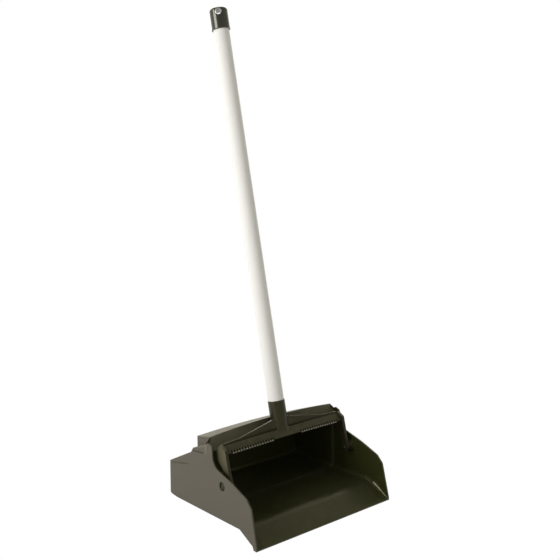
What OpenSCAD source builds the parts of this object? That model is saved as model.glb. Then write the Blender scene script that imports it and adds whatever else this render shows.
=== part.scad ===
// Upright lobby dust pan: a deep moulded pan with an arched hood, a hinged yoke with
// broom-combing teeth, a coated tube handle and a cap to hang it by.
// Frame: X across the pan, +Y from the lip to the rear, +Z up, the floor at Z = 0.
// The origin is on the flat land under the lip, half way across the pan.

/* [Pan] */
// Width across the outside of the side walls
pan_w = 300; // [280:1:330]
// Depth from the lip's land to the top of the rear wall
pan_d = 272.5; // [266:0.5:280]
// Height of the rear wall
rear_h = 61.5; // [58:0.5:66]
// Thickness of the moulded walls
wall_t = 2.8; // [2.5:0.1:3.2]
// Run of the ramp, from the lip's land to the bend in the floor
ramp_run = 46; // [40:1:52]
// Height of the underside at that bend
ramp_rise = 20; // [16:1:22]
// Height of the side walls' upper front corner
cheek_h = 78.5; // [74:0.5:82]
// Inward lean of the side walls, in degrees
draft = 1.7; // [0.5:0.1:2.5]

/* [Hood] */
// Distance from the lip's land to the hood's front face
hood_y = 150.5; // [150:0.5:156]
// Depth of the hump on top of the hood
hump_d = 40; // [34:1:42]
// Distance of the hump's sides from the pan's sides
hump_inset = 12.5; // [12:0.5:16]
// Height of the hump's front edge at its ends
hump_h = 143.5; // [140:0.5:145]
// Rise of the hump's front edge, from its ends to its middle
hump_crown = 6.5; // [4:0.5:9]
// Fall of the hump's ends from front to rear
hump_fall = 10; // [6:0.5:11]
// Height of the rounded ears on the side walls
ear_h = 137.5; // [134:0.5:139]
// Radius of the shoulders between the side walls and the hood
shoulder_r = 9; // [6:0.5:10]

/* [Yoke] */
// Distance of the arms' outer faces from the pan's sides
arm_inset = 15; // [14.5:0.5:18]
// Thickness of the arms
arm_t = 5.5; // [5:0.5:8]
// Width of the sloping flange that carries the comb
flange_w = 16; // [14:0.5:18]
// Slope of the flange, in degrees
flange_slope = 43; // [38:1:48]
// Rise of the arch of the flange
flange_crown = 4.5; // [3:0.5:6]
// Height of the gusset webs where they meet the neck, along the neck
web_h = 22.5; // [18:0.5:28]
// Diameter of the neck that carries the tube
neck_d = 31; // [30.5:0.1:31.5]
// Height of the neck above the flange, along the tube
neck_h = 54; // [48:1:60]

/* [Comb] */
// Teeth in each of the two groups
comb_teeth = 16; // [10:1:17]
// Distance from the middle of the comb to the far end of each group
comb_reach = 117.5; // [112:0.5:120]
// Distance from tooth to tooth
comb_pitch = 5.5; // [4.8:0.1:5.6]
// Width of each tooth
tooth_w = 3; // [2.4:0.1:3.4]
// Depth of the slots between the teeth
tooth_l = 4.5; // [3.5:0.5:8]

/* [Handle] */
// Outside diameter of the tube
tube_d = 28.6; // [28:0.1:29]
// Wall of the tube
tube_t = 1; // [0.8:0.1:1.2]
// Length of the tube
tube_l = 692; // [600:1:800]
// Backward lean of the handle at rest, in degrees
lean = 14; // [13:0.5:14]

/* [Cap] */
// Outside diameter of the hanging cap
cap_d = 34.6; // [33:0.1:37]
// Length of the cap
cap_l = 40; // [36:1:48]
// Length of the cap's sleeve that covers the tube
cap_grip = 21; // [16:1:24]
// Diameter of the hanging hole
hang_d = 12; // [9:0.5:13]
// Turn of the hanging hole about the tube, in degrees
cap_turn = 38; // [0:1:90]

/* [Hidden] */
fine = 96;
black = [0.13, 0.13, 0.11];
half_w = pan_w / 2;

// Pan: the lip, the floor and the rear wall
lip_y = 1;
lip_t = 2.8;
land = 6.5;
step = [9, 5.5];
land_y = 244;
rear_lean = 2;
foot_r = 9;
corner_r = 4.5;
bend_r = 12;
inner_bend_r = 42;
cove_r = 10;

// Side walls: the corners of their outline from the lip to the ear
chin = [15.5, 66.5];
brow_y = 29;
rim_mid = [70, 90.5];
nook = [127.5, 102];
nook_r = 22;
ear_front = [131.8, 134];
ear_y = 143;
roof_slope = 29.3;
shoulder_slope = 26.5;
riser_run = 7;
step_y = hood_y + hump_d;
slab = wall_t / cos(roof_slope);
lintel_z = 116.5;
crease_w = 2.2;
crease_depth = 1.6;
rear_crown = 5;
rear_tilt = 6.5;
fin_w = 8;
fin_drop = 7.5;

// Hinge: bosses on the pan and on the arms, with one headed pin on each side
pivot = [99, 75];
pin_r = 3.95;
pin_bore_r = 4;
pocket_r = 8;
pocket_depth = 2.6;
pan_boss_r = 10.5;
arm_boss_r = 9;
hinge_gap = 0.3;
pin_head_r = 5;
barb_r = 4.8;
barb_l = 4.2;
boss_x = half_w - arm_inset + 4;

// Yoke: the foot of the neck's axis, the flange and the web
neck_foot = [129, 131];
comb_edge = [110, 124];
plate_t = 3;
web_t = 4;
web_front = -6.8;
spigot_l = 45;
spigot_r = tube_d / 2 - tube_t - 0.02;
core_r = spigot_r - 2.8;
rivet_r = 2.4;
rivet_at = 18;

// ---- helpers -------------------------------------------------------------------------

function unit(v) = v / norm(v);
function cross2(a, b) = a[0] * b[1] - a[1] * b[0];
function left_of(w) = [-w[1], w[0]];

// The arc that rounds corner c between its neighbours p and q with radius r.
function corner_arc(p, c, q, r) =
    let (u = unit(p - c), v = unit(q - c), half = acos(u * v) / 2,
         centre = c + unit(u + v) * r / sin(half),
         start = c + u * r / tan(half) - centre,
         end = c + v * r / tan(half) - centre,
         sweep = atan2(cross2(start, end), start * end),
         steps = max(3, ceil(abs(sweep) / (r > 15 ? 7 : 15))))
    [for (i = [0 : steps])
        let (a = atan2(start[1], start[0]) + sweep * i / steps)
        centre + r * [cos(a), sin(a)]];

// An outline whose corners [y, z, r] are rounded where r is given.
function rounded(points) =
    let (n = len(points))
    [for (i = [0 : n - 1])
        let (p = points[(i + n - 1) % n], c = points[i], q = points[(i + 1) % n])
        each (len(c) == 3
            ? corner_arc([p[0], p[1]], [c[0], c[1]], [q[0], q[1]], c[2])
            : [c])];

// Extrudes a side view, drawn as (Y, Z), from x0 to x1.
module side_extrude(x0, x1)
    translate([x0, 0, 0]) rotate([90, 0, 90]) linear_extrude(x1 - x0) children();

module both_sides() {
    children();
    mirror([1, 0, 0]) children();
}

// Places children at a point of the right-hand wall's outside, with their x axis inwards,
// their y axis into the material and their z axis along the outline from p to q.
module along_edge(p, q) {
    w = unit(q - p);
    v = left_of(w);
    multmatrix([[-1, 0, 0, half_w], [0, v[0], w[0], p[0]], [0, v[1], w[1], p[1]], [0, 0, 0, 1]])
        children();
}

// Cutter that rounds the right-hand edge from p to q, the radius growing from r0 to r1.
module fading_round(p, q, r0, r1) {
    run = norm(q - p);
    grow = r1 - r0;
    axis_l = sqrt(run * run + 2 * grow * grow);
    ease = 1 / cos(asin(grow / axis_l));
    before = grow > 0 ? min(0.25, 0.4 * r0 / grow) : 0.25;
    after = 0.25;
    reach = 30;
    along_edge(p, q) difference() {
        intersection() {
            translate([r0, -reach / 2, 0]) rotate([0, atan(grow / run), 0])
                translate([-reach, 0, -2 * reach]) cube([reach, reach, run * 2 + 2 * reach]);
            translate([-reach / 2, r0, 0]) rotate([-atan(grow / run), 0, 0])
                translate([0, -reach, -2 * reach]) cube([reach, reach, run * 2 + 2 * reach]);
            translate([-reach / 2, -reach / 2, -before * run])
                cube([reach, reach, run * (1 + before + after)]);
        }
        translate([r0, r0, 0]) rotate([0, atan2(grow * sqrt(2), run), 45])
            translate([0, 0, -2 * before * axis_l])
            cylinder(h = axis_l * (1 + 2 * before + 2 * after), $fn = fine,
                     r1 = (r0 - 2 * before * grow) * ease, r2 = (r1 + 2 * after * grow) * ease);
    }
}

// ---- pan -----------------------------------------------------------------------------

rear_top = [pan_d, rear_h];
rear_foot = [pan_d - rear_lean, 0];
step_foot = [step_y + riser_run, rear_h + (pan_d - step_y - riser_run) * tan(roof_slope)];
step_top = [step_y, ear_h - (step_y - ear_y) * tan(shoulder_slope)];
crest = [hood_y, ear_h - (hood_y - ear_y) * tan(shoulder_slope)];
shoulder_slab = wall_t / cos(shoulder_slope);
shoulder_fall = wall_t * tan(shoulder_slope);

module wall_outline()
    polygon(rounded([
        [land, 0],
        step,
        [ramp_run, ramp_rise, bend_r],
        [land_y, 0],
        [rear_foot[0], 0, foot_r],
        [rear_top[0], rear_top[1], 2],
        step_foot,
        [step_top[0], step_top[1], 3],
        [ear_y, ear_h, 8],
        [ear_front[0], ear_front[1], 5],
        [nook[0], nook[1], nook_r],
        [rim_mid[0], rim_mid[1], 180],
        [brow_y, cheek_h, 10],
        [chin[0], chin[1], 7],
        [-lip_y, 5],
        [-lip_y, 0]]));

// The floor with its ramp and lip, the rear wall, the sloping roof and the hood's front.
module shell_outline()
    polygon(rounded([
        [-lip_y, 0],
        [land, 0],
        step,
        [ramp_run, ramp_rise, bend_r],
        [land_y, 0],
        [rear_foot[0], 0, foot_r],
        [rear_top[0], rear_top[1], 2],
        step_foot,
        step_top,
        crest,
        [hood_y, lintel_z],
        [hood_y + wall_t, lintel_z],
        [hood_y + wall_t, crest[1] - shoulder_fall - shoulder_slab],
        [step_y - wall_t, step_top[1] + shoulder_fall - shoulder_slab],
        [step_foot[0] - wall_t, step_foot[1] + wall_t * tan(roof_slope) - slab],
        [rear_top[0] - wall_t, rear_top[1] + wall_t * tan(roof_slope) - slab],
        [rear_foot[0] - wall_t, wall_t, foot_r - wall_t],
        [land_y, wall_t],
        [ramp_run, ramp_rise + wall_t, inner_bend_r],
        [-lip_y, lip_t, 1]]));

// The side of an arch: a slab with a bowed top, w wide, its ends at height z.
module arch(w, z, crown, bottom)
    polygon(concat([[w, bottom], [-w, bottom]],
        [for (i = [-12 : 12]) [w * i / 12, z + crown * (1 - i * i / 144)]]));

// An arch whose top falls to the right by rear_tilt, as the moulding sets.
module tilted(w, z, crown, bottom)
    polygon(concat([[w, bottom], [-w, bottom]],
        [for (i = [-12 : 12]) [w * i / 12, z + crown * (1 - i * i / 144) - rear_tilt * (i + 12) / 24]]));

// The hump as a block, shrunk on every side by inset; its arch flattens to the rear.
module hump_block(inset) {
    w = half_w - hump_inset - inset;
    bottom = 95;
    edge = 0.01;
    hull() {
        translate([0, hood_y + inset + edge, 0]) rotate([90, 0, 0]) linear_extrude(edge)
            arch(w, hump_h - inset - hump_fall * inset / hump_d, hump_crown, bottom);
        translate([0, step_y - inset, 0]) rotate([90, 0, 0]) linear_extrude(edge)
            tilted(w, hump_h - inset - hump_fall * (1 - inset / hump_d), rear_crown, bottom);
    }
}

module hump_shell()
    difference() {
        intersection() {
            hump_block(0);
            side_extrude(-half_w, half_w) polygon([
                [hood_y, lintel_z],
                [hood_y + wall_t, crest[1] - shoulder_fall - shoulder_slab],
                [step_y, step_top[1] - shoulder_slab],
                [step_y, ear_h + 20], [hood_y, ear_h + 20]]);
        }
        hump_block(wall_t);
    }

// A fin that carries the hood's front face out from the hump to the ear.
module fin()
    translate([0, hood_y + wall_t, 0]) rotate([90, 0, 0]) linear_extrude(wall_t) polygon([
        [half_w - hump_inset - 1, hump_h - 0.8], [half_w - hump_inset, hump_h - 0.8],
        [half_w - hump_inset + fin_w, hump_h - 0.8 - fin_drop],
        [half_w - hump_inset + fin_w, lintel_z + 4], [half_w - hump_inset - 1, lintel_z + 4]]);

// A three-sided fillet bar inside the shoulder, under the roof line from q to p.
module shoulder_fill(p, q) {
    leg = shoulder_r - wall_t;
    along_edge(p, q) linear_extrude(norm(q - p)) polygon([
        [wall_t - 0.2, wall_t - 0.2], [wall_t + leg, wall_t - 0.2], [wall_t - 0.2, wall_t + leg]]);
}

// A cove in the corner of the right-hand wall and a stretch p to q of the floor's top.
module cove(p, q, r0, r1)
    translate([-wall_t, 0, 0]) intersection() {
        fading_round(p, q, r0, r1);
        along_edge(p, q) translate([-1, -1, 0]) cube([20, 20, norm(q - p)]);
    }

// The coves along the ramp, its rounded crest, the floor and the flat land at the rear.
module floor_coves() {
    lip = [-lip_y, lip_t];
    top = [ramp_run, ramp_rise + wall_t];
    rear = [land_y, wall_t];
    round_l = inner_bend_r * tan(acos(unit(top - lip) * unit(rear - top)) / 2);
    start = top - unit(top - lip) * round_l;
    end = top + unit(rear - top) * round_l;
    cove(lip, start + unit(top - lip) * 2, cove_r * 0.15, cove_r);
    cove(start, end, cove_r, cove_r);
    cove(end - unit(rear - top) * 2, rear + unit(rear - top) * 0.5, cove_r, cove_r);
    cove(rear - [0.5, 0], [rear_foot[0] - wall_t + 0.5, wall_t], cove_r, cove_r);
}

// A shallow styling groove in the side wall, with a blunt end at q.
module crease(p, q)
    along_edge(p, q) translate([-5 + crease_depth, 0, 0]) cube([5, crease_w, norm(q - p)]);

// Leans children on the right-hand side inwards, about the foot of the wall's outside.
module leaning()
    translate([half_w, 0, 0]) rotate([0, -draft, 0]) translate([-half_w, 0, 0]) children();

// The space between the outsides of the two leaning walls.
module between_walls() {
    top = 160;
    shrink = top * tan(draft);
    translate([0, pan_d + 5, 0]) rotate([90, 0, 0]) linear_extrude(pan_d + 10) polygon([
        [-half_w, 0], [half_w, 0], [half_w - shrink, top], [-half_w + shrink, top]]);
}

module hinge_boss()
    translate([boss_x + hinge_gap, pivot[0], pivot[1]]) rotate([0, 90, 0])
        cylinder(r = pan_boss_r, h = half_w - pivot[1] * tan(draft) - 1 - boss_x - hinge_gap, $fn = fine);

module hinge_bore() {
    translate([boss_x - 5, pivot[0], pivot[1]]) rotate([0, 90, 0])
        cylinder(r = pin_bore_r, h = 40, $fn = fine);
    translate([pocket_x, pivot[0], pivot[1]]) rotate([0, 90, 0])
        cylinder(r = pocket_r, h = 10, $fn = fine);
}

pocket_x = half_w - pivot[1] * tan(draft) - pocket_depth;

module pan()
    color(black) difference() {
        union() {
            intersection() {
                union() {
                    side_extrude(-half_w, half_w) shell_outline();
                    both_sides() fin();
                }
                between_walls();
            }
            hump_shell();
            both_sides() {
                leaning() {
                    side_extrude(half_w - wall_t, half_w) wall_outline();
                    shoulder_fill(step_top + [-wall_t, 0], crest);
                    floor_coves();
                }
                hinge_boss();
            }
        }
        hump_block(wall_t);
        both_sides() {
            leaning() {
                intersection() {
                    fading_round(step_top, crest, 2, shoulder_r);
                    side_extrude(0, half_w + 10) translate([hood_y, 0]) square([hump_d, 200]);
                }
                fading_round(rear_foot, rear_top, corner_r, corner_r);
                crease(rear_top - [0.4, 1], [pan_d - 65, 78.8]);
                crease(step_top - [0, 4], [158, 116]);
            }
            hinge_bore();
        }
    }

// ---- yoke ----------------------------------------------------------------------------

// The frame of the neck and tube: z along the tube, x across the pan.
module on_axis() translate([0, neck_foot[0], neck_foot[1]]) rotate([-lean, 0, 0]) children();

// The frame of the flange: y up its slope from the comb's tips, z out of its face.
module on_flange() translate([0, comb_edge[0], comb_edge[1]]) rotate([flange_slope, 0, 0]) children();

arm_x = half_w - arm_inset;

module flange() {
    span = arm_x;
    arch_r = (span * span + flange_crown * flange_crown) / (2 * flange_crown);
    on_flange() difference() {
        intersection() {
            translate([-span, 0, -plate_t - 2]) cube([2 * span, flange_w, plate_t + flange_crown + 4]);
            translate([0, -5, flange_crown - arch_r]) rotate([-90, 0, 0])
                cylinder(r = arch_r, h = flange_w + 10, $fn = 720);
        }
        translate([0, -6, flange_crown - arch_r]) rotate([-90, 0, 0])
            cylinder(r = arch_r - plate_t, h = flange_w + 12, $fn = 720);
        both_sides() for (i = [0 : comb_teeth])
            translate([comb_reach - i * comb_pitch, 0, -plate_t - 3]) {
                gap = comb_pitch - tooth_w;
                translate([0, -1, 0]) cube([gap, tooth_l + 1 - gap / 2, plate_t + flange_crown + 6]);
                translate([gap / 2, tooth_l - gap / 2, 0])
                    cylinder(d = gap, h = plate_t + flange_crown + 6, $fn = 24);
            }
    }
}

// The gusset web: low at the arms, rising in a straight line to the neck.
module web()
    on_axis() translate([0, web_front + web_t, 0]) rotate([90, 0, 0]) linear_extrude(web_t)
        polygon([
            [-arm_x + 1, -1], [-arm_x + 1, 3.5], [-arm_x + arm_t, 5], [-neck_d * 3, 7],
            [-neck_d / 2, web_h], [neck_d / 2, web_h],
            [neck_d * 3, 7], [arm_x - arm_t, 5], [arm_x - 1, 3.5], [arm_x - 1, -1],
            [neck_d * 1.5, -2], [-neck_d * 1.5, -2]]);

module neck()
    on_axis() {
        translate([0, 0, -4]) cylinder(d = neck_d, h = neck_h + 4, $fn = fine);
        translate([0, 0, neck_h]) cylinder(r = spigot_r, h = spigot_l - 1.5, $fn = fine);
        translate([0, 0, neck_h + spigot_l - 1.5]) cylinder(r1 = spigot_r, r2 = spigot_r - 1.5, h = 1.5, $fn = fine);
    }

// The front of the neck runs on down to the flange.
module neck_apron()
    intersection() {
        on_axis() translate([0, 0, -16]) cylinder(d = neck_d, h = 24, $fn = fine);
        on_flange() translate([-neck_d, 0, 0]) cube([2 * neck_d, flange_w + 4, 20]);
    }

module arm()
    side_extrude(arm_x - arm_t, arm_x) union() {
        translate(pivot) circle(r = arm_boss_r + 0.5, $fn = fine);
        polygon(rounded([
            pivot + [-arm_boss_r - 0.2, 2],
            pivot,
            pivot + [arm_boss_r + 0.2, 3],
            [108.6, 91, 6],
            [122, 102, 8],
            [132.5, 107, 5],
            [134, 128, 5],
            [122, 137.5, 4],
            [108, 131.5, 4],
            [98, 96, 12]]));
    }

module arm_boss()
    translate([arm_x - 0.1, pivot[0], pivot[1]]) rotate([0, 90, 0])
        cylinder(r = arm_boss_r, h = boss_x - arm_x + 0.1, $fn = fine);

module yoke()
    color(black) difference() {
        union() {
            flange();
            web();
            neck();
            neck_apron();
            both_sides() {
                arm();
                arm_boss();
            }
        }
        on_axis() translate([0, 0, -20]) cylinder(r = core_r, h = 20 + neck_h + spigot_l - 4, $fn = fine);
        on_axis() translate([0, 0, neck_h + rivet_at]) rotate([-90, 0, 0])
            cylinder(r = rivet_r + 0.05, h = neck_d, $fn = 48);
        both_sides() translate([arm_x - arm_t - 5, pivot[0], pivot[1]]) rotate([0, 90, 0])
            cylinder(r = pin_r + 0.02, h = 40, $fn = fine);
    }

// ---- hinge pins ----------------------------------------------------------------------

// A headed pin with a split, barbed end; z runs from the head towards the barb.
module hinge_pin() {
    shank = pocket_x - (arm_x - arm_t) + 0.3;
    slot = 1.6;
    translate([pocket_x + 0.1, pivot[0], pivot[1]]) rotate([0, -90, 0]) difference() {
        rotate_extrude($fn = fine) polygon([
            [0, -2], [pin_head_r - 2.4, -1.9], [pin_head_r - 0.8, -1.4], [pin_head_r, -0.6],
            [pin_head_r, 0], [pin_r, 0], [pin_r, shank], [barb_r, shank + 0.6],
            [barb_r, shank + 1.4], [pin_r - 1, shank + barb_l], [0, shank + barb_l]]);
        translate([-10, -slot / 2, shank - 7]) cube([20, slot, 20]);
    }
}

module hinge_pin_right() color(black) hinge_pin();
module hinge_pin_left() color(black) mirror([1, 0, 0]) hinge_pin();

// ---- handle --------------------------------------------------------------------------

module handle_tube()
    color([0.93, 0.92, 0.9]) on_axis() difference() {
        translate([0, 0, neck_h]) cylinder(d = tube_d, h = tube_l, $fn = fine);
        translate([0, 0, neck_h - 1]) cylinder(r = tube_d / 2 - tube_t, h = tube_l + 2, $fn = fine);
        translate([0, 0, neck_h + rivet_at]) rotate([-90, 0, 0])
            cylinder(r = rivet_r + 0.05, h = neck_d, $fn = 48);
    }

// A blind rivet at the back of the tube, upset inside the spigot.
module tube_rivet() {
    grip = tube_d / 2 - core_r;
    color([0.75, 0.75, 0.76]) on_axis() translate([0, tube_d / 2, neck_h + rivet_at]) rotate([90, 0, 0])
        rotate_extrude($fn = 48) polygon([
            [0, -1.6], [1.4, -1.6], [3.2, -1], [4, -0.3], [4, 0], [rivet_r, 0],
            [rivet_r, grip + 0.4], [3.3, grip + 0.6], [3.4, grip + 2.4], [2, grip + 3.6], [0, grip + 3.6]]);
}

// ---- cap -----------------------------------------------------------------------------

module handle_cap() {
    cap_r = cap_d / 2;
    tube_top = neck_h + tube_l;
    top = tube_top + cap_l - cap_grip;
    edge_r = 4.5;
    crown = 1.8;
    color([0.1, 0.1, 0.09]) on_axis() difference() {
        translate([0, 0, top]) rotate_extrude($fn = fine) polygon(concat(
            [[0, -cap_l], [cap_r - 0.8, -cap_l], [cap_r, -cap_l + 0.8]],
            [for (a = [0 : 15 : 75]) [cap_r - edge_r + edge_r * cos(a), -edge_r - crown + edge_r * sin(a)]],
            [[cap_r - edge_r, -crown], [cap_r / 2, -crown * 0.4], [0, 0]]));
        translate([0, 0, tube_top - cap_grip - 1]) cylinder(d = tube_d + 0.04, h = cap_grip + 1, $fn = fine);
        rotate([0, 0, -cap_turn]) translate([0, 0, top - 9.4]) rotate([90, 0, 0]) {
            cylinder(d = hang_d, h = 2 * cap_d, center = true, $fn = fine);
            for (s = [-1, 1]) translate([0, 0, s * cap_r]) rotate([0, s * 90 - 90, 0])
                translate([0, 0, -2.2]) cylinder(d1 = hang_d, d2 = hang_d + 5, h = 2.5, $fn = fine);
        }
    }
}

pan();
yoke();
hinge_pin_left();
hinge_pin_right();
handle_tube();
tube_rivet();
handle_cap();
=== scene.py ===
"""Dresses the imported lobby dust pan: shown meshes, comb tips, finishes, studio and camera."""

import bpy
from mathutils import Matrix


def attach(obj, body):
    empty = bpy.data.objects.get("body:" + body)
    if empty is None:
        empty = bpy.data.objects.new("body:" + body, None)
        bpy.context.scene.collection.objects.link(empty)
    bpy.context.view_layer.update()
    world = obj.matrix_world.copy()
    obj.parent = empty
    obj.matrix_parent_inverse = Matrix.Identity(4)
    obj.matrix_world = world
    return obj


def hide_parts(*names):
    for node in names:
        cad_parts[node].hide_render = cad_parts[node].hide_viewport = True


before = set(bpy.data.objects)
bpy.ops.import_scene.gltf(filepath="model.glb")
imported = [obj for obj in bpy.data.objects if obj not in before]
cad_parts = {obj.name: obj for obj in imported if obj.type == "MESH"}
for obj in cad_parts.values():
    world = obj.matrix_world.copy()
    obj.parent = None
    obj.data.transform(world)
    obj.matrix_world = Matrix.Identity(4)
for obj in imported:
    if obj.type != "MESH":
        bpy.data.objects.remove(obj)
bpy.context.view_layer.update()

import logging
import math
from dataclasses import dataclass
from enum import Enum
from typing import Any

import bmesh
import bpy
from mathutils import Vector

LOG = logging.getLogger("dust_pan")
MM = 0.001
Colour = tuple[float, float, float]
Triple = tuple[float, float, float]
Span = tuple[float, float]

EDGE_SAMPLES = 8
NOISE_MEAN = 0.5
NEAR_FADE: Span = (0.6, 1.0)
MERGE_WITHIN = 0.004 * MM
FLAT_WITHIN = math.radians(0.4)
WHITE: Colour = (1.0, 1.0, 1.0)


class Body(Enum):
    """The two bodies of the part."""

    PAN = "pan"
    HANDLE = "handle"


# ---- shader maths --------------------------------------------------------------------


class Value:
    """A number in a shader tree, with the arithmetic that adds its Math nodes."""

    def __init__(self, graph: "Graph", socket: bpy.types.NodeSocket) -> None:
        """Wraps an output socket of a graph's tree."""
        self.graph = graph
        self.socket = socket

    def _math(self, operation: str, first: Any, second: Any) -> "Value":
        """Adds a Math node.

        Args:
            operation: The node's operation.
            first: Its first value, a number or a Value.
            second: Its second value, a number or a Value.

        Returns:
            The node's result.
        """
        settings = {"operation": operation}
        return self.graph.value("ShaderNodeMath", settings, {0: first, 1: second})

    def __add__(self, other: Any) -> "Value":
        """Sum."""
        return self._math("ADD", self, other)

    __radd__ = __add__

    def __sub__(self, other: Any) -> "Value":
        """Difference."""
        return self._math("SUBTRACT", self, other)

    def __rsub__(self, other: Any) -> "Value":
        """Difference, taken from other."""
        return self._math("SUBTRACT", other, self)

    def __mul__(self, other: Any) -> "Value":
        """Product."""
        return self._math("MULTIPLY", self, other)

    __rmul__ = __mul__

    def above(self, low: float, high: float) -> "Value":
        """A smooth step.

        Args:
            low: Where the result leaves 0.
            high: Where it reaches 1.

        Returns:
            The step's value.
        """
        settings = {"interpolation_type": "SMOOTHSTEP"}
        return self.graph.value("ShaderNodeMapRange", settings, {0: self, 1: low, 2: high})


class Graph:
    """The node tree of a material or of the world, and the methods that add its nodes."""

    def __init__(self, name: str) -> None:
        """Makes an empty material.

        Args:
            name: The material's name.
        """
        self.material = bpy.data.materials.new(name)
        self.material.use_nodes = True
        self.tree = self.material.node_tree
        self.tree.nodes.clear()

    @classmethod
    def of_world(cls, world: bpy.types.World) -> "Graph":
        """The graph of a world's tree, emptied.

        Args:
            world: The world, which uses nodes.

        Returns:
            The graph.
        """
        graph = cls.__new__(cls)
        graph.tree = world.node_tree
        graph.tree.nodes.clear()
        return graph

    def node(self, kind: str, settings: dict[str, Any], values: dict[Any, Any]) -> bpy.types.Node:
        """Adds a node.

        Args:
            kind: The node's type.
            settings: Its properties.
            values: What each input socket, by name or number, holds or is linked to.

        Returns:
            The node.
        """
        made = self.tree.nodes.new(kind)
        for name, setting in settings.items():
            setattr(made, name, setting)
        for name, value in values.items():
            socket = made.inputs[name]
            if isinstance(value, Value):
                self.tree.links.new(value.socket, socket)
            elif isinstance(value, bpy.types.NodeSocket):
                self.tree.links.new(value, socket)
            elif isinstance(value, tuple) and len(value) == 3 and socket.type == "RGBA":
                socket.default_value = (*value, 1)
            else:
                socket.default_value = value
        return made

    def value(self, kind: str, settings: dict[str, Any], values: dict[Any, Any]) -> Value:
        """Adds a node and wraps its first output."""
        return Value(self, self.node(kind, settings, values).outputs[0])

    def place(self) -> bpy.types.NodeSocket:
        """The object coordinates, in metres."""
        return self.node("ShaderNodeTexCoord", {}, {}).outputs["Object"]

    def stretched(self, scale: Triple, turn: Triple = (0, 0, 0)) -> bpy.types.NodeSocket:
        """The object coordinates turned and then scaled along each axis.

        Args:
            scale: Scale along X, Y and Z.
            turn: Turn about X, Y and Z in radians.

        Returns:
            The coordinates' socket.
        """
        values = {"Vector": self.place(), "Scale": scale, "Rotation": turn}
        return self.node("ShaderNodeMapping", {}, values).outputs[0]

    def noise(self, where: bpy.types.NodeSocket, scale: float, detail: float = 2) -> Value:
        """A noise of that scale, from 0 to 1, at the given coordinates."""
        values = {"Vector": where, "Scale": scale, "Detail": detail}
        return self.value("ShaderNodeTexNoise", {}, values)

    def blend(self, mask: Value, first: Any, second: Any) -> bpy.types.NodeSocket:
        """Mixes two colours.

        Args:
            mask: 0 for the first colour and 1 for the second.
            first: A colour or a colour's socket.
            second: A colour or a colour's socket.

        Returns:
            The mixed colour's socket.
        """
        made = self.node("ShaderNodeMix", {"data_type": "RGBA"}, {0: mask, 6: first, 7: second})
        return made.outputs[2]

    def parts(self, vector: bpy.types.NodeSocket) -> tuple[Value, Value, Value]:
        """The three parts of a vector."""
        made = self.node("ShaderNodeSeparateXYZ", {}, {0: vector})
        return tuple(Value(self, socket) for socket in made.outputs)

    def facing(self) -> tuple[Value, Value, Value]:
        """How far the surface faces outwards from the middle, back and up.

        Returns:
            The three parts, each from -1 to 1.
        """
        geometry = self.node("ShaderNodeNewGeometry", {}, {})
        across, back, up = self.parts(geometry.outputs["Normal"])
        where = self.parts(self.place())[0]
        side = self.value("ShaderNodeMath", {"operation": "SIGN"}, {0: where})
        return across * side, back, up

    def size_of(self, signed: Value) -> Value:
        """A value without its sign."""
        return self.value("ShaderNodeMath", {"operation": "ABSOLUTE"}, {0: signed})

    def near(self, centre: Triple, reach: Triple) -> Value:
        """A soft-edged ellipsoid.

        Args:
            centre: Its centre in metres; X stands for both sides.
            reach: Its half sizes in metres.

        Returns:
            1 inside the ellipsoid and 0 outside it.
        """
        both = self.node("ShaderNodeVectorMath", {"operation": "ABSOLUTE"}, {0: self.place()})
        offset = self.node(
            "ShaderNodeVectorMath", {"operation": "SUBTRACT"}, {0: both.outputs[0], 1: centre}
        )
        scaled = self.node(
            "ShaderNodeVectorMath", {"operation": "DIVIDE"}, {0: offset.outputs[0], 1: reach}
        )
        away = self.node("ShaderNodeVectorMath", {"operation": "LENGTH"}, {0: scaled.outputs[0]})
        return 1 - Value(self, away.outputs["Value"]).above(*NEAR_FADE)

    def finish(
        self, shader: dict[str, Any], height: Value, depth: float, edge: Any
    ) -> bpy.types.Material:
        """Ends the tree in a Principled shader with a bump and rounded edges.

        Args:
            shader: The shader's inputs.
            height: The bump's height, from 0 to 1.
            depth: The height's size in metres.
            edge: The radius of the edges in metres, a number or a Value.

        Returns:
            The material.
        """
        round_off = self.node("ShaderNodeBevel", {"samples": EDGE_SAMPLES}, {"Radius": edge})
        bump = self.node(
            "ShaderNodeBump",
            {},
            {"Height": height, "Distance": depth, "Strength": 1.0, "Normal": round_off.outputs[0]},
        )
        inputs = shader | {"Normal": bump.outputs[0]}
        principled = self.node("ShaderNodeBsdfPrincipled", {}, inputs)
        self.node("ShaderNodeOutputMaterial", {}, {"Surface": principled.outputs[0]})
        return self.material


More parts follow.
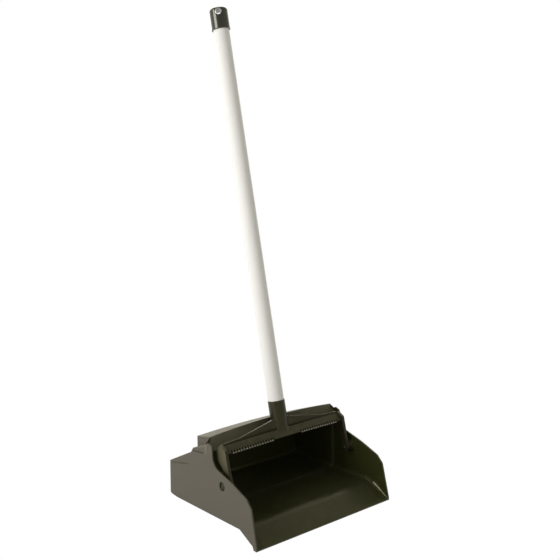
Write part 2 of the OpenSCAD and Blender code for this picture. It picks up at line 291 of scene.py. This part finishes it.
@dataclass(frozen=True)
class Scoop:
    """Where the pan's inner faces are, so that they can have a finish of their own: a glossier
    surface, and a darker colour that is painted shade.

    A pair is where a soft step starts and ends: in metres, or for the facings as a part
    of the normal.
    """

    half: Span = (148 * MM, 148.8 * MM)
    draft: float = 0.0297
    front: Span = (147 * MM, 148 * MM)
    roofed: Span = (152 * MM, 154 * MM)
    back: Span = (270.5 * MM, 271.5 * MM)
    above_floor: Span = (1 * MM, 2.5 * MM)
    roof_height: Span = (20 * MM, 25 * MM)
    hump_half: Span = (140.5 * MM, 141.5 * MM)
    hump_height: Span = (60 * MM, 65 * MM)
    side_facing: Span = (0.3, 0.6)
    roof_facing: Span = (0.2, 0.4)
    rear_facing: Span = (0.1, 0.2)

    def mask(self, graph: Graph) -> Value:
        """1 on the pan's inner faces and 0 elsewhere.

        Args:
            graph: The material's tree.

        Returns:
            The mask.
        """
        across, along, height = graph.parts(graph.place())
        out = graph.size_of(across)
        width = 1 - (out + self.draft * height).above(*self.half)
        front = 1 - along.above(*self.front)
        roofed = along.above(*self.roofed) * (1 - along.above(*self.back))
        outward, rearward, up = graph.facing()
        hump_end = outward.above(*self.side_facing) * (1 - out.above(*self.hump_half))
        roof = up.above(*self.roof_facing) * height.above(*self.roof_height)
        under = (1 - roof) * (1 - rearward.above(*self.rear_facing))
        under = under * (1 - hump_end * height.above(*self.hump_height))
        return width * (front + roofed * under) * height.above(*self.above_floor)


# ---- finishes ------------------------------------------------------------------------


@dataclass(frozen=True)
class MouldedPlastic:
    """Black moulded plastic: a fine grain, a little haze, dust and light scuffs, with painted
    light on chosen faces and painted shade on the pan's inner faces.
    """

    name: str = "moulded_black"
    # The pan's own black, lightened on the outer faces as painted light.
    colour: Colour = (0.084, 0.073, 0.062)
    # Colour for dust, and for the painted light on the hood's front and the yoke's sides.
    dust_and_painted_light: Colour = (0.155, 0.146, 0.095)
    roughness: float = 0.5
    grain: float = 1500
    grain_depth: float = 0.03 * MM
    dust: float = 0.25
    edge: float = 1.15 * MM
    softer: float = 3.0 * MM
    soft_at: Triple = (0.0, 0.152, 0.146)
    soft_reach: Triple = (0.4, 0.02, 0.014)
    worn_at: Triple = (0.141, 0.018, 0.009)
    worn_reach: Triple = (0.012, 0.042, 0.03)
    worn: float = 0.15
    # Painted shade: a darker colour for the inner faces that the scoop mask finds.
    inside: Colour = (0.030, 0.0325, 0.0095)
    gloss_tint: Colour = (1.0, 0.98, 0.65)
    shine: float = 0.5
    # Painted light on outward-facing sides around side_at, standing in for light from the left.
    side_painted_light: float = 0.0
    side_at: Triple = (0.140, 0.105, 0.105)
    side_reach: Triple = (0.02, 0.06, 0.06)
    side_facing: Span = (0.6, 0.95)
    polish: float = 0.22
    inner_calm: float = 0.85
    # Painted light on the hood's front face, around front_at: that face is lightened to stand in
    # for the light it reflects.
    front_painted_light: float = 0.8
    front_at: Triple = (0.0, 0.1505, 0.130)
    front_reach: Triple = (0.4, 0.004, 0.022)
    front_even: float = 0.6
    front_patchy: float = 0.8
    cloud_scale: float = 14
    haze_scale: float = 60
    scuff_stretch: Triple = (30, 260, 30)
    scuff_turn: Triple = (0.2, 0.1, 0.5)
    scuff_scale: float = 3
    scuff_lines: Span = (0.66, 0.74)
    scuff_patches: Span = (0.48, 0.66)
    scuff_pale: float = 0.2
    scuff_raised: float = 0.5
    dust_facing: Span = (0.2, 1.0)
    cloud_rough: float = 0.12
    dust_rough: float = 0.10
    haze_rough: float = 0.06
    scoop: Scoop = Scoop()

    def build(self) -> bpy.types.Material:
        """Makes the material.

        Returns:
            The material.
        """
        graph = Graph(self.name)
        place = graph.place()
        cloud = graph.noise(place, self.cloud_scale, detail=3)
        haze = graph.noise(place, self.haze_scale, detail=4)
        drawn = graph.stretched(self.scuff_stretch, self.scuff_turn)
        streak = graph.noise(drawn, self.scuff_scale)
        scuff = streak.above(*self.scuff_lines) * cloud.above(*self.scuff_patches)
        outward, _, upward = graph.facing()
        up = upward.above(*self.dust_facing)
        scoop = self.scoop.mask(graph)
        # Painted light: a lighter band laid on the hood's front face.
        hood = graph.near(self.front_at, self.front_reach) * self.front_painted_light
        # Painted light: outward-facing sides near the yoke's arms are lightened.
        sides = outward.above(*self.side_facing) * graph.near(self.side_at, self.side_reach)
        # The mask mixes real dust and scuffs with the painted light on the hood's front and the
        # arms' sides.
        mask = up * haze * self.dust + scuff * self.scuff_pale
        mask = mask + hood * (self.front_even + self.front_patchy * haze)
        mask = mask + self.side_painted_light * sides
        grain = graph.noise(place, self.grain)
        uneven = self.cloud_rough * (cloud - NOISE_MEAN) + self.dust_rough * mask
        uneven = uneven + self.haze_rough * (haze - NOISE_MEAN)
        rough = self.roughness + uneven * (1 - scoop) - self.polish * scoop
        rough = rough - self.worn * graph.near(self.worn_at, self.worn_reach)
        # The inner faces take the darker inside colour: painted shade on the same moulding.
        clean = graph.blend(scoop, self.colour, self.inside)
        return graph.finish(
            {
                "Base Color": graph.blend(mask, clean, self.dust_and_painted_light),
                "Roughness": rough,
                "Specular IOR Level": self.shine,
                "Specular Tint": self.gloss_tint,
            },
            (grain + self.scuff_raised * scuff) * (1 - self.inner_calm * scoop),
            self.grain_depth,
            self.edge + self.softer * graph.near(self.soft_at, self.soft_reach),
        )


@dataclass(frozen=True)
class PowderCoat:
    """White coat on a metal tube: a soft orange peel and the faintest soiling."""

    name: str = "white_coat"
    colour: Colour = (0.87, 0.86, 0.855)
    soiled: Colour = (0.74, 0.72, 0.70)
    roughness: float = 0.6
    shine: float = 0.08
    cloud_scale: float = 9
    peel_scale: float = 420
    peel_depth: float = 0.02 * MM
    smudge_stretch: Triple = (60, 60, 9)
    smudge_patches: Span = (0.6, 0.85)
    smudge_share: float = 0.35
    cloud_rough: float = 0.1
    smudge_rough: float = 0.1
    edge: float = 0.2 * MM

    def build(self) -> bpy.types.Material:
        """Makes the material.

        Returns:
            The material.
        """
        graph = Graph(self.name)
        place = graph.place()
        cloud = graph.noise(place, self.cloud_scale, detail=4)
        peel = graph.noise(place, self.peel_scale)
        smudge = graph.noise(graph.stretched(self.smudge_stretch), 1, detail=3)
        smudge = smudge.above(*self.smudge_patches) * self.smudge_share
        uneven = self.cloud_rough * (cloud - NOISE_MEAN)
        return graph.finish(
            {
                "Base Color": graph.blend(smudge, self.colour, self.soiled),
                "Roughness": self.roughness + uneven + self.smudge_rough * smudge,
                "Specular IOR Level": self.shine,
            },
            peel,
            self.peel_depth,
            self.edge,
        )


@dataclass(frozen=True)
class GlossPlastic:
    """Black plastic from a polished mould, with hairline marks from handling."""

    name: str = "gloss_black"
    colour: Colour = (0.009, 0.0085, 0.003)
    worn: Colour = (0.03, 0.029, 0.022)
    gloss_tint: Colour = (1.0, 0.98, 0.8)
    roughness: float = 0.14
    shine: float = 0.45
    coat: float = 1.0
    coat_roughness: float = 0.08
    edge: float = 1.3 * MM
    cloud_scale: float = 45
    cloud_rough: float = 0.14
    hair_stretch: Triple = (40, 40, 900)
    hair_turn: Triple = (0.3, 0.4, 0)
    hair_lines: Span = (0.68, 0.78)
    hair_pale: float = 0.3
    hair_rough: float = 0.12
    hair_raised: float = 0.1
    depth: float = 0.015 * MM

    def build(self) -> bpy.types.Material:
        """Makes the material.

        Returns:
            The material.
        """
        graph = Graph(self.name)
        place = graph.place()
        cloud = graph.noise(place, self.cloud_scale, detail=3)
        hair = graph.noise(graph.stretched(self.hair_stretch, self.hair_turn), 1)
        hair = hair.above(*self.hair_lines)
        uneven = self.cloud_rough * (cloud - NOISE_MEAN)
        return graph.finish(
            {
                "Base Color": graph.blend(hair * self.hair_pale, self.colour, self.worn),
                "Roughness": self.roughness + uneven + self.hair_rough * hair,
                "Specular IOR Level": self.shine,
                "Specular Tint": self.gloss_tint,
                "Coat Weight": self.coat,
                "Coat Roughness": self.coat_roughness,
            },
            cloud + self.hair_raised * hair,
            self.depth,
            self.edge,
        )


@dataclass(frozen=True)
class SatinMetal:
    """Plain rivet metal with fine turning marks and a dull film."""

    name: str = "rivet_satin"
    colour: Colour = (0.62, 0.61, 0.59)
    dull: Colour = (0.38, 0.37, 0.35)
    roughness: float = 0.34
    film_scale: float = 600
    film_patches: Span = (0.4, 0.75)
    film_rough: float = 0.2
    mark_stretch: Triple = (900, 900, 5000)
    mark_depth: float = 0.01 * MM
    edge: float = 0.2 * MM

    def build(self) -> bpy.types.Material:
        """Makes the material.

        Returns:
            The material.
        """
        graph = Graph(self.name)
        film = graph.noise(graph.place(), self.film_scale, detail=3).above(*self.film_patches)
        marks = graph.noise(graph.stretched(self.mark_stretch), 1)
        return graph.finish(
            {
                "Base Color": graph.blend(film, self.colour, self.dull),
                "Metallic": 1.0,
                "Roughness": self.roughness + self.film_rough * film,
            },
            marks,
            self.mark_depth,
            self.edge,
        )


# ---- geometry ------------------------------------------------------------------------


@dataclass
class Piece:
    """A CAD node shown through a cleaned copy of its mesh."""

    node: str
    body: Body
    slot: str
    finish: bpy.types.Material

    def clean_mesh(self) -> bpy.types.Mesh:
        """The node's mesh with shared corners and flat faces in one piece.

        Returns:
            A new mesh.
        """
        mesh = bpy.data.meshes.new(f"{self.node}_shown")
        work = bmesh.new()
        work.from_mesh(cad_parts[self.node].data)
        bmesh.ops.remove_doubles(work, verts=work.verts, dist=MERGE_WITHIN)
        bmesh.ops.dissolve_degenerate(work, edges=work.edges, dist=MERGE_WITHIN)
        bmesh.ops.dissolve_limit(
            work, angle_limit=FLAT_WITHIN, verts=work.verts, edges=work.edges
        )
        bmesh.ops.recalc_face_normals(work, faces=work.faces)
        work.to_mesh(mesh)
        work.free()
        for name in ("custom_normal", "sharp_edge", "sharp_face"):
            if name in mesh.attributes:
                mesh.attributes.remove(mesh.attributes[name])
        return mesh

    def build(self) -> bpy.types.Object:
        """Makes the shown piece.

        Returns:
            The object that stands for the CAD node.
        """
        obj = bpy.data.objects.new(f"{self.node}_shown", self.clean_mesh())
        smooth(obj.data)
        bpy.context.scene.collection.objects.link(obj)
        weigh = obj.modifiers.new("weigh", "WEIGHTED_NORMAL")
        weigh.keep_sharp = True
        obj.data = evaluated(obj)
        obj.modifiers.clear()
        obj.data.materials.clear()
        obj.data.materials.append(self.finish)
        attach(obj, self.body.value)
        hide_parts(self.node)
        return obj


def evaluated(obj: bpy.types.Object) -> bpy.types.Mesh:
    """The plain mesh that an object's modifiers make.

    Args:
        obj: The object, which keeps its modifiers.

    Returns:
        A new mesh.
    """
    bpy.context.view_layer.update()
    depsgraph = bpy.context.evaluated_depsgraph_get()
    return bpy.data.meshes.new_from_object(obj.evaluated_get(depsgraph))


def smooth(mesh: bpy.types.Mesh, degrees: float = 32) -> None:
    """Shades a mesh smooth, apart from edges sharper than the given angle."""
    mesh.shade_smooth()
    mesh.set_sharp_from_angle(angle=math.radians(degrees))


class Form:
    """A Geometry Nodes tree with named inputs, which ends in real faces with a finish."""

    def __init__(self, name: str, sizes: dict[str, Any]) -> None:
        """Makes the tree and its inputs.

        Args:
            name: The tree's name.
            sizes: Each input's name and value: an int, a float or a vector.
        """
        self.name = name
        self.sizes = sizes
        self.tree = bpy.data.node_groups.new(name, "GeometryNodeTree")
        self.sockets: dict[str, str] = {}
        face = self.tree.interface
        face.new_socket("Geometry", in_out="OUTPUT", socket_type="NodeSocketGeometry")
        kinds = {int: "NodeSocketInt", float: "NodeSocketFloat", tuple: "NodeSocketVector"}
        for label, size in sizes.items():
            made = face.new_socket(label, in_out="INPUT", socket_type=kinds[type(size)])
            self.sockets[label] = made.identifier
        self.inputs = self.tree.nodes.new("NodeGroupInput")
        self.output = self.tree.nodes.new("NodeGroupOutput")

    def size(self, label: str) -> bpy.types.NodeSocket:
        """The socket of a named input."""
        return self.inputs.outputs[label]

    def node(self, kind: str, settings: dict[str, Any], values: dict[Any, Any]) -> bpy.types.Node:
        """Adds a node.

        Args:
            kind: The node's type.
            settings: Its properties.
            values: What each input socket, by name or number, holds or is linked to.

        Returns:
            The node.
        """
        made = self.tree.nodes.new(kind)
        for name, setting in settings.items():
            setattr(made, name, setting)
        for name, value in values.items():
            if isinstance(value, bpy.types.NodeSocket):
                self.tree.links.new(value, made.inputs[name])
            else:
                made.inputs[name].default_value = value
        return made

    def maths(self, operation: str, first: Any, second: Any = 0.0) -> bpy.types.NodeSocket:
        """Adds a Math node and gives its result's socket."""
        made = self.node("ShaderNodeMath", {"operation": operation}, {0: first, 1: second})
        return made.outputs[0]

    def finished(
        self, geometry: bpy.types.NodeSocket, finish: bpy.types.Material
    ) -> bpy.types.Object:
        """Ends the tree and makes its piece.

        Args:
            geometry: The socket of what the piece is made of.
            finish: The piece's material.

        Returns:
            An object with a plain mesh and no modifier.
        """
        real = self.node("GeometryNodeRealizeInstances", {}, {"Geometry": geometry})
        shaded = self.node(
            "GeometryNodeSetShadeSmooth", {}, {"Geometry": real.outputs[0], "Shade Smooth": True}
        )
        dressed = self.node(
            "GeometryNodeSetMaterial", {}, {"Geometry": shaded.outputs[0], "Material": finish}
        )
        self.tree.links.new(dressed.outputs[0], self.output.inputs[0])
        obj = bpy.data.objects.new(self.name, bpy.data.meshes.new(self.name))
        bpy.context.scene.collection.objects.link(obj)
        modifier = obj.modifiers.new(self.name, "NODES")
        modifier.node_group = self.tree
        for label, size in self.sizes.items():
            modifier[self.sockets[label]] = size
        obj.data = evaluated(obj)
        obj.modifiers.clear()
        return obj


@dataclass(frozen=True)
class CombTips:
    """The rounded noses of the comb's teeth, in two groups along the flange's arched edge."""

    teeth: int = 16
    pitch: float = 5.5 * MM
    reach: float = 117.5 * MM
    width: float = 3.0 * MM
    nose: float = 1.5 * MM
    span: float = 135.0 * MM
    crown: float = 4.5 * MM
    slope: float = 43.0
    edge: Span = (110.0 * MM, 124.0 * MM)
    facets: int = 20

    def build(self, side: int, finish: bpy.types.Material) -> bpy.types.Object:
        """Makes one group of noses.

        Args:
            side: 1 for the right-hand group and -1 for the left-hand one.
            finish: The material.

        Returns:
            The group as one object.
        """
        radius = (self.span**2 + self.crown**2) / (2 * self.crown)
        form = Form(
            f"comb_tips_{'right' if side > 0 else 'left'}",
            {
                "Teeth": self.teeth,
                "Pitch": self.pitch,
                "First": self.reach - self.width / 2,
                "Side": float(side),
                "Arch Radius": radius,
                "Crown": self.crown,
                "Nose": self.nose,
                "Width": self.width,
                "Slope": math.radians(self.slope),
                "Edge": (0.0, self.edge[0], self.edge[1]),
            },
        )
        row = form.node(
            "GeometryNodeMeshLine",
            {"mode": "OFFSET"},
            {"Count": form.size("Teeth"), "Offset": (0, 0, 0)},
        )
        index = form.node("GeometryNodeInputIndex", {}, {}).outputs[0]
        inwards = form.maths("MULTIPLY", index, form.size("Pitch"))
        along = form.maths("SUBTRACT", form.size("First"), inwards)
        across = form.maths("MULTIPLY", along, form.size("Side"))
        squared = form.maths("MULTIPLY", along, along)
        width = form.maths("MULTIPLY", form.size("Arch Radius"), 2.0)
        bow = form.maths("DIVIDE", squared, width)
        top = form.maths("SUBTRACT", form.size("Crown"), bow)
        lift = form.maths("SUBTRACT", top, form.size("Nose"))
        rise = form.maths("MULTIPLY", lift, form.maths("COSINE", form.size("Slope")))
        back = form.maths("MULTIPLY", lift, form.maths("SINE", form.size("Slope")))
        forward = form.maths("MULTIPLY", back, -1.0)
        offset = form.node("ShaderNodeCombineXYZ", {}, {"X": across, "Y": forward, "Z": rise})
        placed = form.node(
            "ShaderNodeVectorMath",
            {"operation": "ADD"},
            {0: offset.outputs[0], 1: form.size("Edge")},
        )
        points = form.node(
            "GeometryNodeSetPosition",
            {},
            {"Geometry": row.outputs[0], "Position": placed.outputs[0]},
        )
        barrel = form.node(
            "GeometryNodeMeshCylinder",
            {"fill_type": "TRIANGLE_FAN"},
            {"Vertices": self.facets, "Radius": form.size("Nose"), "Depth": form.size("Width")},
        )
        laid = form.node(
            "GeometryNodeTransform",
            {},
            {"Geometry": barrel.outputs[0], "Rotation": (0, math.pi / 2, 0)},
        )
        noses = form.node(
            "GeometryNodeInstanceOnPoints",
            {},
            {"Points": points.outputs[0], "Instance": laid.outputs[0]},
        )
        return form.finished(noses.outputs[0], finish)


# ---- sub-assemblies ------------------------------------------------------------------


@dataclass
class Pan:
    """The moulded pan with its hood."""

    plastic: MouldedPlastic = MouldedPlastic()

    def build(self) -> list[bpy.types.Object]:
        """Builds the pan's pieces.

        Returns:
            The pieces' objects.
        """
        black = self.plastic.build()
        return [Piece("pan", Body.PAN, "black_plastic", black).build()]


@dataclass
class Yoke:
    """The hinged yoke with its comb, and the pins that it turns on."""

    plastic: MouldedPlastic = MouldedPlastic(
        name="yoke_black",
        colour=(0.019, 0.0165, 0.008),
        roughness=0.48,
        dust=1.3,
        worn_at=(0.0, 0.135, 0.165),
        worn_reach=(0.03, 0.06, 0.06),
        worn=0.28,
        polish=0.0,
        shine=0.42,
        # painted light on the arms' outward sides
        side_painted_light=1.0,
        dust_and_painted_light=(0.088, 0.082, 0.050),
        inside=(0.019, 0.0165, 0.008),
        front_painted_light=0.0,
        edge=0.8 * MM,
        softer=3.5 * MM,
        soft_at=(0.0, 0.118, 0.131),
        soft_reach=(0.022, 0.02, 0.014),
    )
    pin_plastic: GlossPlastic = GlossPlastic(
        name="pin_black", roughness=0.5, shine=0.5, coat=0.0, edge=0.3 * MM
    )
    tips: CombTips = CombTips()
    # Painted highlight: the tooth noses get a pale colour that stands in for the light they catch.
    tip_painted_highlight: MouldedPlastic = MouldedPlastic(
        name="tips_painted_highlight",
        colour=(0.3, 0.29, 0.25),
        inside=(0.3, 0.29, 0.25),
        dust_and_painted_light=(0.3, 0.29, 0.25),
        edge=0.2 * MM,
        softer=0.0,
        gloss_tint=(1.0, 1.0, 1.0),
    )

    def build(self) -> list[bpy.types.Object]:
        """Builds the yoke's pieces.

        Returns:
            The pieces' objects.
        """
        black = self.plastic.build()
        # The tips' pale finish is a painted highlight.
        worn = self.tip_painted_highlight.build()
        pin = self.pin_plastic.build()
        shown = [Piece("yoke", Body.HANDLE, "black_plastic", black)]
        for side in ("left", "right"):
            shown.append(Piece(f"hinge_pin_{side}", Body.HANDLE, "pin_plastic", pin))
        tips = [self.tips.build(side, worn) for side in (-1, 1)]
        for obj in tips:
            smooth(obj.data)
            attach(obj, Body.HANDLE.value)
        return [piece.build() for piece in shown] + tips


@dataclass
class Handle:
    """The coated tube, its rivet and its hanging cap."""

    coat: PowderCoat = PowderCoat()
    gloss: GlossPlastic = GlossPlastic()
    metal: SatinMetal = SatinMetal()

    def build(self) -> list[bpy.types.Object]:
        """Builds the handle's pieces.

        Returns:
            The pieces' objects.
        """
        shown = [
            Piece("handle_tube", Body.HANDLE, "white_coat", self.coat.build()),
            Piece("tube_rivet", Body.HANDLE, "rivet_metal", self.metal.build()),
            Piece("handle_cap", Body.HANDLE, "cap_plastic", self.gloss.build()),
        ]
        return [piece.build() for piece in shown]


# ---- studio --------------------------------------------------------------------------


@dataclass(frozen=True)
class Softbox:
    """A rectangular lamp that points at a target."""

    name: str
    place: Triple
    target: Triple
    size: Span
    power: float
    colour: Colour = WHITE

    def build(self) -> bpy.types.Object:
        """Makes the lamp.

        Returns:
            The lamp's object.
        """
        data = bpy.data.lights.new(self.name, "AREA")
        data.shape = "RECTANGLE"
        data.size, data.size_y = self.size
        data.energy = self.power
        data.color = self.colour
        lamp = bpy.data.objects.new(self.name, data)
        lamp.location = self.place
        aim = Vector(self.target) - Vector(self.place)
        lamp.rotation_euler = aim.to_track_quat("-Z", "Y").to_euler()
        bpy.context.scene.collection.objects.link(lamp)
        return lamp


@dataclass(frozen=True)
class Lobe:
    """A soft bright part of the surround, towards one direction."""

    towards: Triple
    strength: float
    start: float = 0.2
    full: float = 1.0

    def level(self, graph: Graph, way: bpy.types.NodeSocket) -> Value:
        """The lobe's brightness along a direction.

        Args:
            graph: The surround's tree.
            way: The direction's socket.

        Returns:
            The brightness.
        """
        aim = tuple(Vector(self.towards).normalized())
        made = graph.node("ShaderNodeVectorMath", {"operation": "DOT_PRODUCT"}, {0: way, 1: aim})
        return Value(graph, made.outputs["Value"]).above(self.start, self.full) * self.strength


@dataclass
class Studio:
    """A pale floor, a white surround, a soft lamp and the camera."""

    camera_place: Triple = (-0.86759, -0.98420, 0.70240)
    camera_turn: Triple = (78.16, -0.12, -37.85)
    lens: float = 53.44
    sensor: float = 36
    clip_start: float = 0.01
    ambient: float = 0.38
    ceiling: float = 0.5
    ceiling_from: Span = (0.3, 0.85)
    floor_half: float = 6.0
    floor_colours: tuple[Colour, Colour] = ((0.8, 0.8, 0.79), (0.84, 0.84, 0.83))
    floor_cloud: float = 3
    floor_roughness: float = 0.9
    behind: Span = (0.3, 1.2)
    behind_dimmer: float = 0.2
    tint: Colour = (1.0, 0.985, 0.87)
    gloss_floor: float = 0.45
    lobes: tuple[Lobe, ...] = (
        Lobe((-0.85, 0.5, 0.0), 0.5, 0.1, 1.0),
        Lobe((0.6, 0.8, 0.05), 1.7, 0.35, 0.95),
        Lobe((0.3, -0.95, 0.1), 0.2, 0.0, 1.0),
    )
    lamps: tuple[Softbox, ...] = (
        Softbox("left", (-2.1, 0.40, 0.95), (0, 0.15, 0.3), (1.0, 1.5), 25),
    )

    def build_world(self) -> None:
        """Makes the surround: plain white to the camera, and soft bright parts for the light."""
        world = bpy.data.worlds.new("surround")
        world.use_nodes = True
        graph = Graph.of_world(world)
        way = graph.node("ShaderNodeTexCoord", {}, {}).outputs["Generated"]
        level: Any = self.ambient
        for lobe in self.lobes:
            level = level + lobe.level(graph, way)
        level = level * (1 - self.ceiling * graph.parts(way)[2].above(*self.ceiling_from))
        path = graph.node("ShaderNodeLightPath", {}, {})
        lit = graph.node("ShaderNodeBackground", {}, {"Color": self.tint, "Strength": level})
        seen = graph.node("ShaderNodeBackground", {}, {"Color": WHITE, "Strength": 1.0})
        mixed = graph.node(
            "ShaderNodeMixShader",
            {},
            {0: path.outputs["Is Camera Ray"], 1: lit.outputs[0], 2: seen.outputs[0]},
        )
        graph.node("ShaderNodeOutputWorld", {}, {"Surface": mixed.outputs[0]})
        bpy.context.scene.world = world

    def build_floor(self) -> bpy.types.Object:
        """Makes the pale floor under the part.

        Returns:
            The floor's object.
        """
        graph = Graph("pale_floor")
        path = graph.node("ShaderNodeLightPath", {}, {})
        seen = graph.node("ShaderNodeEmission", {}, {"Color": WHITE, "Strength": 1.0})
        cloud = graph.noise(graph.place(), self.floor_cloud)
        colour = graph.blend(cloud, *self.floor_colours)
        matt = graph.node(
            "ShaderNodeBsdfPrincipled",
            {},
            {"Base Color": colour, "Roughness": self.floor_roughness},
        )
        behind = graph.parts(graph.place())[1].above(*self.behind)
        mirrored = self.gloss_floor - self.behind_dimmer * behind
        glossy = Value(graph, path.outputs["Is Glossy Ray"]) * mirrored
        rays = {0: path.outputs["Is Camera Ray"], 1: glossy}
        share = graph.value("ShaderNodeMath", {"operation": "MAXIMUM"}, rays)
        mixed = graph.node(
            "ShaderNodeMixShader", {}, {0: share, 1: matt.outputs[0], 2: seen.outputs[0]}
        )
        graph.node("ShaderNodeOutputMaterial", {}, {"Surface": mixed.outputs[0]})
        mesh = bpy.data.meshes.new("floor")
        half = self.floor_half
        corners = [(-half, -half, 0), (half, -half, 0), (half, half, 0), (-half, half, 0)]
        mesh.from_pydata(corners, [], [(0, 1, 2, 3)])
        mesh.materials.append(graph.material)
        floor = bpy.data.objects.new("floor", mesh)
        bpy.context.scene.collection.objects.link(floor)
        return floor

    def build_camera(self) -> bpy.types.Object:
        """Makes the scene's camera.

        Returns:
            The camera's object.
        """
        data = bpy.data.cameras.new("camera")
        data.sensor_fit = "HORIZONTAL"
        data.sensor_width = self.sensor
        data.lens = self.lens
        data.clip_start = self.clip_start
        camera = bpy.data.objects.new("camera", data)
        camera.location = self.camera_place
        camera.rotation_euler = [math.radians(turn) for turn in self.camera_turn]
        bpy.context.scene.collection.objects.link(camera)
        bpy.context.scene.camera = camera
        return camera

    def build(self) -> None:
        """Makes the whole studio."""
        self.build_world()
        self.build_floor()
        for lamp in self.lamps:
            lamp.build()
        self.build_camera()
        bpy.context.scene.view_settings.view_transform = "Standard"
        bpy.context.scene.view_settings.look = "None"


def main() -> None:
    """Builds the part's sub-assemblies and the studio, and reports each piece."""
    logging.basicConfig(level=logging.INFO, format="%(message)s")
    for assembly in (Pan(), Yoke(), Handle()):
        for obj in assembly.build():
            LOG.info("%s: %d faces", obj.name, len(obj.data.polygons))
    Studio().build()


if __name__ == "__main__":
    main()
